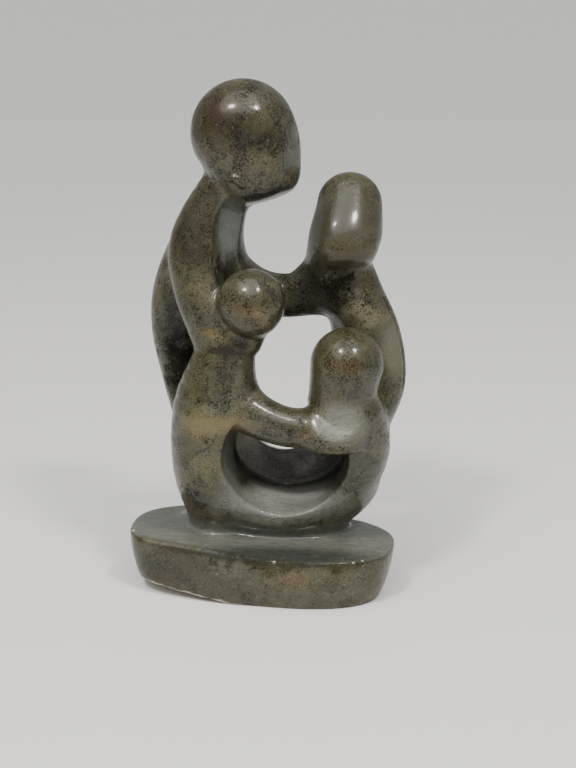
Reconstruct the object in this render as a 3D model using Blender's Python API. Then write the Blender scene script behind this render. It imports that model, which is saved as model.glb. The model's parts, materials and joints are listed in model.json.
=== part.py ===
# Family group carved from one piece of soapstone: father, mother and two children in a closed ring, on an oval base
# left in the same stone. Metres, +Z up, origin at the middle of the underside, the viewer in front at -Y.
#
# The stone is built as a carver works it. Heads and limbs are rounded forms that run into one another with soft
# fillets, then hollows and openings are cut between the figures with an edge that is rubbed smooth. Each form is
# a few Geometry Nodes that measure how far a point lies from its surface. Volume Cube fills a block with that
# measure, Volume to Mesh takes the surface out of it, and a Boolean saws the underside flat.

import math

import bpy
from mathutils import Vector

# The base, in metres.
BASE_LENGTH = 0.1230
BASE_DEPTH = 0.0630
BASE_THICKNESS = 0.0262  # at the middle
BASE_FALL = 0.0045  # the top is this much lower at the right end than at the left
BASE_DOME = 0.0005  # the top is this much lower at the rim than at the middle
BASE_TAPER = 0.0060  # the underside is drawn in this much from the rim
BASE_TURN = -8  # degrees, the left end lies farther back
RIM_ROUND = 0.0015
BLUNTNESS = 2.6  # 2 is an ellipse, more gives the oval blunter ends

# The figures, in metres. All their forms follow from this height.
GROUP_HEIGHT = 0.2060  # from the middle of the base's top to the crown of the father's head
STAND_BACK = 0.0030  # the group stands this much behind the middle of the base
UNIT = GROUP_HEIGHT / 206  # a millimetre of the group at its real size

# How finely the surface is taken, and the share of its faces that the solid keeps.
GRID = 0.0018
MARGIN = 0.0050
FACES_KEPT = 0.12
STEPS = 3  # straight pieces of a limb between two of its stations

STONE_COLOUR = (0.115, 0.107, 0.080, 1.0)
STONE_ROUGHNESS = 0.32


def place(x, y, z):
    """A point of the group, from its millimetres right, back and above the base's top."""
    return Vector((x * UNIT, STAND_BACK + y * UNIT, BASE_THICKNESS + z * UNIT))


def add_node(tree, kind, settings=(), inputs=()):
    """Adds a node with its settings, and gives its inputs values or links from other outputs."""
    node = tree.nodes.new(kind)
    for name, value in dict(settings).items():
        setattr(node, name, value)
    for name, value in dict(inputs).items():
        if isinstance(value, bpy.types.NodeSocket):
            tree.links.new(value, node.inputs[name])
        else:
            node.inputs[name].default_value = value
    return node


def calc(tree, operation, *values):
    return add_node(tree, "ShaderNodeMath", {"operation": operation}, enumerate(values)).outputs[0]


def vector_calc(tree, operation, *values, output="Vector"):
    settings = {"operation": operation}
    return add_node(tree, "ShaderNodeVectorMath", settings, enumerate(values)).outputs[output]


def combine(tree, x, y, z):
    return add_node(tree, "ShaderNodeCombineXYZ", inputs=enumerate((x, y, z))).outputs[0]


def new_group(name, **sockets):
    """A node group that takes the named inputs and gives one distance."""
    tree = bpy.data.node_groups.new(name, "GeometryNodeTree")
    for socket, kind in sockets.items():
        tree.interface.new_socket(socket, in_out="INPUT", socket_type="NodeSocket" + kind)
    tree.interface.new_socket("distance", in_out="OUTPUT", socket_type="NodeSocketFloat")
    return tree, tree.nodes.new("NodeGroupInput").outputs


def make_limb_group():
    """Distance to a tapered limb with round ends, its section widened along Y by depth."""
    tree, given = new_group(
        "limb",
        position="Vector",
        start="Vector",
        end="Vector",
        start_radius="Float",
        end_radius="Float",
        depth="Float",
    )
    squeeze = combine(tree, 1.0, calc(tree, "DIVIDE", 1.0, given["depth"]), 1.0)
    point, start, end = (
        vector_calc(tree, "MULTIPLY", given[name], squeeze) for name in ("position", "start", "end")
    )
    out = vector_calc(tree, "SUBTRACT", point, start)
    along = vector_calc(tree, "SUBTRACT", end, start)
    done = vector_calc(tree, "DOT_PRODUCT", out, along, output="Value")
    whole = vector_calc(tree, "DOT_PRODUCT", along, along, output="Value")
    share = calc(tree, "DIVIDE", done, whole)
    share = calc(tree, "MINIMUM", calc(tree, "MAXIMUM", share, 0.0), 1.0)
    nearest = vector_calc(tree, "MULTIPLY", along, combine(tree, share, share, share))
    gap = vector_calc(tree, "LENGTH", vector_calc(tree, "SUBTRACT", out, nearest), output="Value")
    growth = calc(tree, "SUBTRACT", given["end_radius"], given["start_radius"])
    radius = calc(tree, "MULTIPLY_ADD", share, growth, given["start_radius"])
    add_node(tree, "NodeGroupOutput", inputs={"distance": calc(tree, "SUBTRACT", gap, radius)})
    return tree


def make_egg_group():
    """Distance to an ellipsoid, turned about X, Y and Z."""
    tree, given = new_group("egg", position="Vector", centre="Vector", radii="Vector", turn="Vector")
    local = add_node(
        tree,
        "ShaderNodeVectorRotate",
        {"rotation_type": "EULER_XYZ", "invert": True},
        {"Vector": given["position"], "Center": given["centre"], "Rotation": given["turn"]},
    ).outputs[0]
    local = vector_calc(tree, "SUBTRACT", local, given["centre"])
    once = vector_calc(tree, "DIVIDE", local, given["radii"])
    twice = vector_calc(tree, "DIVIDE", once, given["radii"])
    size = vector_calc(tree, "LENGTH", once, output="Value")
    slope = calc(tree, "MAXIMUM", vector_calc(tree, "LENGTH", twice, output="Value"), 0.001)
    distance = calc(tree, "DIVIDE", calc(tree, "MULTIPLY", size, calc(tree, "SUBTRACT", size, 1.0)), slope)
    add_node(tree, "NodeGroupOutput", inputs={"distance": distance})
    return tree


def make_slab_group():
    """Distance to the base: an oval with blunt ends, drawn in below, its top domed and falling to the right."""
    tree, given = new_group("slab", position="Vector", turn="Float", half_length="Float", half_depth="Float")
    local = add_node(
        tree,
        "ShaderNodeVectorRotate",
        {"rotation_type": "Z_AXIS", "invert": True},
        {"Vector": given["position"], "Angle": given["turn"]},
    ).outputs[0]
    right, back, height = add_node(tree, "ShaderNodeSeparateXYZ", inputs={0: local}).outputs
    powers = [
        calc(tree, "POWER", calc(tree, "ABSOLUTE", calc(tree, "DIVIDE", part, half)), BLUNTNESS)
        for part, half in ((right, given["half_length"]), (back, given["half_depth"]))
    ]
    share = calc(tree, "POWER", calc(tree, "ADD", *powers), 1 / BLUNTNESS)
    share = calc(tree, "MAXIMUM", share, 0.01)
    reach = vector_calc(tree, "LENGTH", combine(tree, right, back, 0.0), output="Value")
    wall = calc(tree, "MULTIPLY", reach, calc(tree, "SUBTRACT", 1.0, calc(tree, "DIVIDE", 1.0, share)))
    below = calc(tree, "MAXIMUM", calc(tree, "SUBTRACT", 1.0, calc(tree, "DIVIDE", height, BASE_THICKNESS)), 0.0)
    wall = calc(tree, "MULTIPLY_ADD", calc(tree, "POWER", below, 2.0), BASE_TAPER, wall)
    fall = calc(tree, "MULTIPLY", calc(tree, "DIVIDE", right, given["half_length"]), BASE_FALL / 2)
    dome = calc(tree, "MULTIPLY", calc(tree, "POWER", share, 2.0), BASE_DOME)
    top = calc(tree, "ADD", calc(tree, "SUBTRACT", height, BASE_THICKNESS), calc(tree, "ADD", fall, dome))
    add_node(tree, "NodeGroupOutput", inputs={"distance": calc(tree, "SMOOTH_MAX", wall, top, RIM_ROUND)})
    return tree


def smooth_course(stations):
    """Points and radii on a Catmull-Rom line through the stations."""
    padded = [stations[0], *stations, stations[-1]]
    course = []
    for before, here, there, after in zip(padded, padded[1:], padded[2:], padded[3:]):
        for step in range(STEPS):
            share = step / STEPS
            x, y, z, radius = (
                b + 0.5 * share * (c - a + share * (2 * a - 5 * b + 4 * c - d + share * (3 * (b - c) + d - a)))
                for a, b, c, d in zip(before, here, there, after)
            )
            course.append((place(x, y, z), radius * UNIT))
    x, y, z, radius = stations[-1]
    course.append((place(x, y, z), radius * UNIT))
    return course


class Carving:
    """One node tree, the forms it holds and the ways of putting them together."""

    def __init__(self, name):
        self.tree = bpy.data.node_groups.new(name, "GeometryNodeTree")
        self.tree.interface.new_socket("Geometry", in_out="OUTPUT", socket_type="NodeSocketGeometry")
        self.position = self.tree.nodes.new("GeometryNodeInputPosition").outputs[0]
        self.limb_group = make_limb_group()
        self.egg_group = make_egg_group()
        self.slab_group = make_slab_group()

    def form(self, group, **values):
        inputs = {"position": self.position, **values}
        return add_node(self.tree, "GeometryNodeGroup", {"node_tree": group}, inputs).outputs[0]

    def limb(self, *stations, depth=1.0):
        """A limb through stations (x, y, z, radius) in the group's millimetres."""
        course = smooth_course(stations)
        pieces = [
            self.form(
                self.limb_group, start=start, end=end, start_radius=start_radius, end_radius=end_radius, depth=depth
            )
            for (start, start_radius), (end, end_radius) in zip(course, course[1:])
        ]
        whole = pieces[0]
        for piece in pieces[1:]:
            whole = calc(self.tree, "MINIMUM", whole, piece)
        return whole

    def egg(self, centre, radii, turn=(0, 0, 0)):
        """An ellipsoid, its radii in millimetres and its turn in degrees."""
        return self.form(
            self.egg_group,
            centre=place(*centre),
            radii=Vector(radii) * UNIT,
            turn=[math.radians(angle) for angle in turn],
        )

    def behind(self, point, facing):
        """All that lies behind a flat face through a point."""
        offset = vector_calc(self.tree, "SUBTRACT", self.position, place(*point))
        return vector_calc(self.tree, "DOT_PRODUCT", offset, Vector(facing).normalized(), output="Value")

    def join(self, first, *others, fillet):
        for other in others:
            first = calc(self.tree, "SMOOTH_MIN", first, other, fillet * UNIT)
        return first

    def trim(self, form, limit, edge):
        return calc(self.tree, "SMOOTH_MAX", form, limit, edge * UNIT)

    def cut(self, form, cutter, edge):
        outside = calc(self.tree, "MULTIPLY", cutter, -1.0)
        return calc(self.tree, "SMOOTH_MAX", form, outside, edge * UNIT)

    def flatten(self, form, *flats):
        """Each flat is a point on it, the way it faces and how round its edge is."""
        for point, facing, edge in flats:
            form = self.trim(form, self.behind(point, facing), edge)
        return form


def father_head(c):
    skull = c.limb((-7.3, 4, 182.8, 23), (-3, 2, 175.5, 21.4), (0.8, 1, 167.5, 18.4), depth=0.92)
    right_side = ((17.2, 2, 174), (0.88, -0.47, -0.04), 5)
    face = ((-2, -16.6, 178), (-0.10, -0.98, -0.12), 7)
    chin = ((0, 0, 152.4), (0.30, -0.20, -0.93), 9)
    return c.flatten(skull, right_side, face, chin)


def father(c):
    front_arm = c.limb(
        (-15, 7, 160, 10),
        (-22.4, 6, 146, 12.2),
        (-28.4, 3, 132, 12.4),
        (-27, -3, 115, 11.6),
        (-19.5, -8, 98, 12.4),
    )
    back = c.limb(
        (-16, 9, 156, 8.9),
        (-25, 13, 138, 12.6),
        (-35, 18, 113, 13.8),
        (-37, 20, 93, 14),
        (-32, 20, 70, 14.5),
        (-24, 16, 44, 15.5),
        (-18, 12, 16, 15.5),
    )
    inner_arm = c.limb(
        (-15, 6, 156, 9),
        (-18, 8.5, 138, 10.3),
        (-15.5, 14, 122.5, 10.5),
        (-6, 21, 111.5, 10.4),
        (6, 23, 106.8, 10.2),
        (20, 22, 107.3, 10),
        (34, 18, 110, 10),
    )
    body = c.join(front_arm, inner_arm, fillet=7)
    trough = c.limb((-1.5, -9.5, 156, 10), (-7.5, -11.5, 146, 13.5), (-8.5, -11, 132, 12.8), (-10.5, -6, 119, 8.5))
    body = c.cut(body, trough, edge=2.6)
    body = c.join(body, back, fillet=7)
    return c.join(body, father_head(c), fillet=8)


def mother_head(c):
    skull = c.limb((39.8, 18, 149.3, 14.7), (38.6, 11, 140, 15.8), (37, 5.5, 134.6, 15.4), depth=0.92)
    face = ((37, -8, 136), (0.05, -0.92, 0.30), 10)
    chin = ((37, -4, 125.5), (0.05, -0.35, -1.0), 7)
    skull = c.flatten(skull, face, chin)
    neck = c.limb((36, 11.5, 134, 14.6), (34.5, 12.5, 126, 14.2), (36, 15, 112, 13))
    left_side = ((23.4, 4, 138), (-0.86, -0.42, 0.20), 5)
    return c.flatten(c.join(skull, neck, fillet=6), left_side)


def mother(c):
    front = c.limb(
        (38.5, 13, 122, 11.5),
        (43.2, 14, 108, 12.6),
        (49.8, 13, 94, 12.6),
        (53.4, 10, 80, 12.4),
        (53.8, 6, 68, 11.6),
        (48, 2, 56, 12),
    )
    back = c.limb((39, 17, 114, 12), (45, 21, 92, 13), (45, 21, 68, 14), (36, 17, 42, 16), (24, 12, 16, 15.5))
    body = c.join(front, back, fillet=5)
    return c.join(body, mother_head(c), fillet=3)


def left_child(c):
    head = c.egg((-4.0, -14, 111.0), (14.8, 14.6, 15.2))
    body = c.limb(
        (-13.8, -8, 96, 11.8), (-16.9, -9, 82, 14.5), (-20.4, -7, 60, 19.4), (-21.6, -3, 34, 19.2), (-19, 4, 14, 17.4)
    )
    neck = c.limb((-1, -11, 103, 6), (-6.6, -10, 93, 7.4))
    return c.join(c.join(body, neck, fillet=2), head, fillet=3)


def right_child(c):
    head = c.limb((38.1, -13.5, 83.4, 16.3), (36.9, -12.5, 74, 15.4), (36.5, -11, 64, 15.6))
    body = c.limb((37.5, -10, 60, 17.5), (40, -5, 43, 18.6), (34, 0, 25, 17.8), (24, 4, 12, 16.5))
    return c.join(body, head, fillet=2.5)


def children_arms(c):
    arms = c.limb(
        (-15, -10, 68.5, 13), (-4, -15, 61.5, 10.2), (8, -17.5, 56.6, 9.1), (19, -17, 54.4, 9.6), (32, -15, 54, 12)
    )
    facet = ((32.5, -27, 59.8), (-0.03, -0.76, 0.65), 3)
    shoulder = c.flatten(c.egg((33, -16, 53), (16.5, 16.5, 16.5)), facet)
    underside = ((19, -17, 47), (0, 0, -1), 2)
    return c.flatten(c.join(arms, shoulder, fillet=3), underside)


def web(c):
    """The web of stone that is left in the corner between the bridge and the mother's neck."""
    return c.limb((17, 18, 113, 6), (26, 14, 124, 5))


def lap(c):
    """The lower body that all four figures grow out of, and its waist above the base."""
    bowl = c.egg((9, 4, 25), (46, 26.5, 28))
    waist = c.egg((2, 9, 4), (38.5, 17, 16), turn=(0, 0, BASE_TURN))
    return c.join(bowl, waist, fillet=6)


def lap_hollow(c):
    """The hollow under the children's arms: a flared mouth, a wider pocket behind it and a flat back wall."""
    left_flare = c.limb((9.5, -34, 42, 26.6), (9.4, -19.5, 42, 26.4), (8, -8, 43.5, 19.8))
    right_flare = c.limb((12.4, -34, 42, 26.6), (12.5, -19.5, 42, 26.4), (18.5, -8, 43.5, 19.8))
    flare = c.join(left_flare, right_flare, fillet=2)
    pocket_front = ((0, -8, 0), (0, -1, 0), 1)
    pocket = c.flatten(c.egg((13.4, 0, 40), (26.5, 60, 20.5)), pocket_front)
    back_wall = ((0, 7, 0), (0, 1, 0), 3)
    return c.flatten(c.join(flare, pocket, fillet=0.5), back_wall)


def way_out(c):
    """The opening that leads from above the hollow's back wall to the back, under the bridge."""
    return c.limb((10.5, 13, 52.5, 17), (12, 44, 43.5, 17.5))


def base(c):
    slab = c.form(
        c.slab_group, turn=math.radians(BASE_TURN), half_length=BASE_LENGTH / 2, half_depth=BASE_DEPTH / 2
    )
    left_front = ((-20, -27, 0), (-0.33, -0.94, 0), 8)
    broken_corner = ((-9, -31, -BASE_THICKNESS / UNIT), (-0.20, -0.17, -1.0), 0.6)
    return c.flatten(slab, left_front, broken_corner)


def build_stone():
    c = Carving("family_group_carving")
    parents = c.join(c.join(father(c), mother(c), fillet=9), web(c), fillet=5)
    children = c.join(left_child(c), right_child(c), fillet=5)
    group = c.join(lap(c), parents, fillet=9)
    group = c.join(group, children, fillet=4)
    group = c.cut(group, lap_hollow(c), edge=1.4)
    group = c.cut(group, way_out(c), edge=2.5)
    group = c.join(group, children_arms(c), fillet=4)
    stone = c.join(group, base(c), fillet=10)
    add_skin(c.tree, stone)
    return c.tree


def add_skin(tree, stone):
    """Fills a block round the piece with the measure, and takes the surface out of it."""
    half_length = BASE_LENGTH / 2 + MARGIN
    low = Vector((-half_length, -BASE_DEPTH / 2 - MARGIN, -MARGIN))
    high = Vector((half_length + MARGIN, BASE_DEPTH / 2 + 2 * MARGIN, BASE_THICKNESS + GROUP_HEIGHT + MARGIN))
    density = calc(tree, "SUBTRACT", 1.0, calc(tree, "DIVIDE", stone, 4 * GRID))
    counts = {"Resolution " + axis: math.ceil((b - a) / GRID) for axis, a, b in zip("XYZ", low, high)}
    block = add_node(tree, "GeometryNodeVolumeCube", inputs={"Density": density, "Min": low, "Max": high, **counts})
    skin = add_node(tree, "GeometryNodeVolumeToMesh", inputs={"Volume": block.outputs[0], "Threshold": 1.0})
    add_node(tree, "NodeGroupOutput", inputs={"Geometry": skin.outputs[0]})


def make_stone_material():
    material = bpy.data.materials.new("polished_stone")
    material.use_nodes = True
    shader = material.node_tree.nodes["Principled BSDF"]
    shader.inputs["Base Color"].default_value = STONE_COLOUR
    shader.inputs["Roughness"].default_value = STONE_ROUGHNESS
    material.diffuse_color = STONE_COLOUR
    return material


def add_object(name, mesh=None):
    obj = bpy.data.objects.new(name, mesh or bpy.data.meshes.new(name))
    bpy.context.scene.collection.objects.link(obj)
    return obj


def make_floor_cutter():
    """A block under the piece that takes everything below the underside."""
    bpy.ops.mesh.primitive_cube_add(size=1.0)
    cutter = bpy.context.object
    cutter.name = "floor_cutter"
    cutter.scale = (2 * BASE_LENGTH, 2 * BASE_LENGTH, 4 * MARGIN)
    cutter.location = (0.0, 0.0, -2 * MARGIN)
    cutter.hide_render = True
    cutter.display_type = "WIRE"
    return cutter


def main():
    for obj in list(bpy.data.objects):
        bpy.data.objects.remove(obj)
    stone = add_object("family_group")
    stone.data.materials.append(make_stone_material())
    stone.modifiers.new("carving", "NODES").node_group = build_stone()
    thin = stone.modifiers.new("fewer faces", "DECIMATE")
    thin.ratio = FACES_KEPT
    saw = stone.modifiers.new("sawn underside", "BOOLEAN")
    saw.object = make_floor_cutter()
    saw.operation = "DIFFERENCE"


main()
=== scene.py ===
# Family group carved from one piece of grey-green soapstone: two parents and two children in a closed ring,
# on an oval base left in the same stone. One Geometry Nodes tree measures how far a point lies from the
# surface, a fine skin is taken out of it, and the colour, polish and grain of the stone are procedural.

import json
import math

import bpy
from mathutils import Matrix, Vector

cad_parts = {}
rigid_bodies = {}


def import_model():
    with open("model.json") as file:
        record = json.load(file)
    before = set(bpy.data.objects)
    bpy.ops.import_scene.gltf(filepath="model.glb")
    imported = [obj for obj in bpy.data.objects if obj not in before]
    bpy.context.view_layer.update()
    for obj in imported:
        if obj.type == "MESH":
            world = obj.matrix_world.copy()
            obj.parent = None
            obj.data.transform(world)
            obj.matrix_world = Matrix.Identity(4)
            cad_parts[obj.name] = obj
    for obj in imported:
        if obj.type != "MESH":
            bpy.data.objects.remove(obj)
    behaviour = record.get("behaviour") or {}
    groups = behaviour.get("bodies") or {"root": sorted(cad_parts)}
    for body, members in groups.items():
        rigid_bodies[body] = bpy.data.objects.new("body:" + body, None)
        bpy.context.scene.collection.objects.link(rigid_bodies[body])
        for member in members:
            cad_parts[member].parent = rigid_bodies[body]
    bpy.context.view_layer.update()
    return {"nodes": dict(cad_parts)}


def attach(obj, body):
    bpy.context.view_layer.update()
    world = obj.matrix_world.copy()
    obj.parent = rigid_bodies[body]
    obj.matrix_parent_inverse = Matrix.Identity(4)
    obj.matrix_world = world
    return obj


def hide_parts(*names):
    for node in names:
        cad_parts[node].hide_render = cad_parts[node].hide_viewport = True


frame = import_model()
print("packed frame loaded:", ", ".join(frame["nodes"]))


def addNode(tree, kind, inputs=(), output=0, **settings):
    # adds a node, sets or links its inputs by name or by number, and hands back one of its outputs
    node = tree.nodes.new(kind)
    for name, value in settings.items():
        setattr(node, name, value)
    for key, value in inputs.items() if isinstance(inputs, dict) else enumerate(inputs):
        if isinstance(value, bpy.types.NodeSocket):
            tree.links.new(value, node.inputs[key])
        else:
            node.inputs[key].default_value = value
    return node if output is None or not node.outputs else node.outputs[output]


def newTree(name, inputs, outputName, outputKind):
    tree = bpy.data.node_groups.new(name, "GeometryNodeTree")
    for label, socketKind in inputs.items():
        tree.interface.new_socket(label, in_out="INPUT", socket_type="NodeSocket" + socketKind)
    tree.interface.new_socket(outputName, in_out="OUTPUT", socket_type="NodeSocket" + outputKind)
    return tree, tree.nodes.new("NodeGroupInput").outputs


def toLinear(hexColour):
    # a hex colour's shares, brought to linear by the sRGB curve
    shares = [int(hexColour[place : place + 2], 16) / 255 for place in (1, 3, 5)]
    return tuple(s / 12.92 if s <= 0.04045 else ((s + 0.055) / 1.055) ** 2.4 for s in shares) + (1.0,)


# Camera: looks down by 16 degrees from 0.65 m, as the photograph was taken.
camera = {
    "place": (0.01206, -0.59357, 0.26776),
    "pitchDown": 16.0,
    "lens": 64.17,
    "sensor": 36.0,
    "clipStart": 0.01,
}


def placeCamera():
    data = bpy.data.cameras.new("photoCamera")
    data.lens = camera["lens"]
    data.sensor_width = camera["sensor"]
    data.clip_start = camera["clipStart"]
    eye = bpy.data.objects.new("photoCamera", data)
    bpy.context.scene.collection.objects.link(eye)
    eye.location = camera["place"]
    eye.rotation_euler = (math.radians(90 - camera["pitchDown"]), 0.0, 0.0)
    bpy.context.scene.camera = eye


placeCamera()
print("camera placed")


# The stone's form. The sizes in carving are in metres unless a note says otherwise. Stations are (right,
# back, up, radius) in millimetres of the group, from the middle of the base's top, and change in step with the
# group height. A flat face is given by a point on it, the way it faces and how round its edge is.
carving = {
    "Base length": 0.1230,
    "Base depth": 0.0630,
    "Base thickness": 0.0262,
    "Group height": 0.2060,
    "Stand back": 0.0030,  # the group stands this much behind the middle of the base
    "Voxel size": 0.0008,
    "Hand marks": 0.16,  # millimetres between the high and low places that rasps and sandpaper left
    "Broken edge": 2.2,  # millimetres between the high and low places of the broken corner
    "Seed": 7.0,
}
perMetre = 1000.0  # millimetres
drawnHeight = 206.0  # the group's height in its own millimetres
baseTurn = -8.0  # degrees, the left end lies farther back
skinShare = 0.55  # of the skin's faces that are kept
blockMargin = 0.005  # metres of air around the stone in the block that the skin is taken from
fadeCells = 4.0  # voxels over which that block goes from stone to air

father = {
    "skull": [(-7.3, 4, 182.8, 23), (-3, 2, 175.5, 21.4), (0.8, 1, 167.5, 18.4)],
    "skullDepth": 0.92,
    "fold": [(-13.6, -12, 165, 1.3), (-10.4, -13, 165.3, 1.9), (-7.4, -12.9, 162.6, 1.7)],
    "skullFlats": [
        ((17.2, 2, 174), (0.88, -0.47, -0.04), 5),
        ((-2, -16.6, 178), (-0.10, -0.98, -0.12), 7),
        ((0, 0, 152.4), (0.30, -0.20, -0.93), 9),
    ],
    "frontArm": [
        (-15, 7, 160, 10),
        (-22.4, 6, 146, 12.2),
        (-28.4, 3, 132, 12.4),
        (-27, -3, 115, 11.6),
        (-19.5, -8, 98, 12.4),
    ],
    "innerArm": [  # it goes on as the bridge to the mother
        (-15, 6, 156, 9),
        (-18, 8.5, 138, 10.3),
        (-15.5, 14, 122.5, 10.5),
        (-6, 21, 111.5, 10.4),
        (6, 23, 106.8, 10.2),
        (20, 22, 107.3, 10),
        (34, 18, 110, 10),
    ],
    "trough": [
        (-1.5, -9.5, 156, 10),
        (-7.5, -11.5, 146, 13.5),
        (-8.5, -11, 132, 12.8),
        (-10.5, -6, 119, 8.5),
    ],
    "back": [
        (-16, 9, 156, 8.9),
        (-25, 13, 138, 12.6),
        (-35, 18, 113, 13.8),
        (-37, 20, 93, 14),
        (-32, 20, 70, 14.5),
        (-24, 16, 44, 15.5),
        (-18, 12, 16, 15.5),
    ],
}
mother = {
    "skull": [(39.8, 18, 149.3, 14.7), (38.6, 11, 140, 15.8), (37, 5.5, 134.6, 15.4)],
    "skullDepth": 0.92,
    "skullFlats": [
        ((37, -8, 136), (0.05, -0.92, 0.30), 10),
        ((37, -4, 125.5), (0.05, -0.35, -1.0), 7),
    ],
    "neck": [(36, 11.5, 134, 14.6), (34.5, 12.5, 126, 14.2), (36, 15, 112, 13)],
    "backLine": [(54.8, 8.7, 108, 0.9), (61.4, 7.7, 94, 1), (64.8, 4.8, 80, 1), (64.4, 1.1, 68, 0.8)],
    "neckFlats": [((23.4, 4, 138), (-0.86, -0.42, 0.20), 5)],
    "web": [(17, 18, 113, 6), (26, 14, 124, 5)],  # stone left in the corner between the bridge and the neck
    "frontArm": [
        (38.5, 13, 122, 11.5),
        (43.2, 14, 108, 12.6),
        (49.8, 13, 94, 12.6),
        (53.4, 10, 80, 12.4),
        (53.8, 6, 68, 11.6),
        (48, 2, 56, 12),
    ],
    "back": [(39, 17, 114, 12), (45, 21, 92, 13), (45, 21, 68, 14), (36, 17, 42, 16), (24, 12, 16, 15.5)],
}
children = {
    "leftHead": ((-4.0, -14, 111.0), (14.8, 14.6, 15.2)),  # centre and radii
    "leftNeck": [(-1, -11, 103, 6), (-6.6, -10, 93, 7.4)],
    "leftBody": [
        (-13.8, -8, 96, 11.8),
        (-16.9, -9, 82, 14.5),
        (-20.4, -7, 60, 19.4),
        (-21.6, -3, 34, 19.2),
        (-19, 4, 14, 17.4),
    ],
    "rightHead": [(38.1, -13.5, 83.4, 16.3), (36.9, -12.5, 74, 15.4), (36.5, -11, 64, 15.6)],
    "rightBody": [(37.5, -10, 60, 17.5), (40, -5, 43, 18.6), (34, 0, 25, 17.8), (24, 4, 12, 16.5)],
    "joinedArms": [
        (-15, -10, 68.5, 13),
        (-4, -15, 61.5, 10.2),
        (8, -17.5, 56.6, 9.1),
        (19, -17, 54.4, 9.6),
        (32, -15, 54, 12),
    ],
    "shoulder": ((33, -16, 53), (16.5, 16.5, 16.5)),
    "shoulderFacet": ((32.5, -27, 59.8), (-0.03, -0.76, 0.65), 3),
    "armsUnderside": ((19, -17, 47), (0, 0, -1), 2),
}
lowerBody = {
    "bowl": ((9, 4, 25), (46, 26.5, 28)),
    "waist": ((2, 9, 4), (38.5, 17, 16)),
    "leftFlare": [(9.5, -34, 42, 26.6), (9.4, -19.5, 42, 26.4), (8, -8, 43.5, 19.8)],
    "rightFlare": [(12.4, -34, 42, 26.6), (12.5, -19.5, 42, 26.4), (18.5, -8, 43.5, 19.8)],
    "pocket": ((13.4, 0, 40), (26.5, 60, 20.5)),
    "pocketFront": ((0, -8, 0), (0, -1, 0), 1),
    "backWall": ((0, 7, 0), (0, 1, 0), 3),
    "wayOut": [(10.5, 13, 52.5, 17), (12, 44, 43.5, 17.5)],
}
base = {
    "bluntness": 2.6,  # 2 is an ellipse, more gives the oval blunter ends
    "taper": 6.0,  # millimetres by which the underside is drawn in
    "fall": 4.5,  # millimetres by which the right end's top is lower
    "dome": 0.5,  # millimetres by which the top's middle stands over its rim
    "rimRound": 1.5,
    "frontFlat": ((-20, -27, 0), (-0.33, -0.94, 0), 8),
    "brokenCorner": ((-9, -31, -26.2), (-0.20, -0.17, -1.0), 0.6),
    # Chips on the rim: place and radius in millimetres from the middle of the underside.
    "chips": [
        ((-59.8, -2.3, 27.9), 0.9),
        ((5.8, -31.6, 24.6), 1.0),
        ((41.2, -30.9, 24.1), 0.8),
        ((45.3, -28.9, 24.3), 0.8),
        ((45.8, -30.0, 21.6), 0.7),
        ((45.9, -30.0, 19.9), 0.6),
        ((-33.5, 30.9, 27.0), 1.0),
        ((58.9, 9.0, 24.0), 0.9),
    ],
}
pits = [  # small holes where soft grains fell out of the stone, on the left child's hip
    ((-29.2, -15.0, 50.0), 1.4),
    ((-31.2, -13.1, 47.6), 1.0),
    ((-27.0, -15.6, 47.0), 0.8),
    ((-32.6, -12.2, 51.5), 0.7),
]
wear = {
    "tornLump": 5.5,  # millimetres, the width of the lumps on the broken corner
    "tornDetail": 3.0,
    "handLump": 16.0,  # millimetres, the width of the places that the hand tools left
    "handDetail": 1.0,
    "chipHeight": 0.8,  # of its width
    "chipEdge": 0.5,
}

# How widely one form runs into the next, or how round the edge of a cut is, in millimetres.
fillets = {
    "fatherArms": 7,
    "trough": 1.8,
    "fatherBack": 7,
    "fatherHead": 8,
    "fold": 1.5,
    "motherNeck": 6,
    "motherBack": 5,
    "motherHead": 3,
    "backLine": 0.6,
    "bridge": 9,
    "web": 5,
    "leftNeck": 2,
    "leftHead": 3,
    "rightHead": 2.5,
    "children": 5,
    "waist": 6,
    "parentsToBody": 9,
    "childrenToBody": 4,
    "flares": 2,
    "pocket": 0.5,
    "hollow": 1.4,
    "wayOut": 2.5,
    "shoulder": 3,
    "armsToBody": 4,
    "foot": 10,
}


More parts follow.
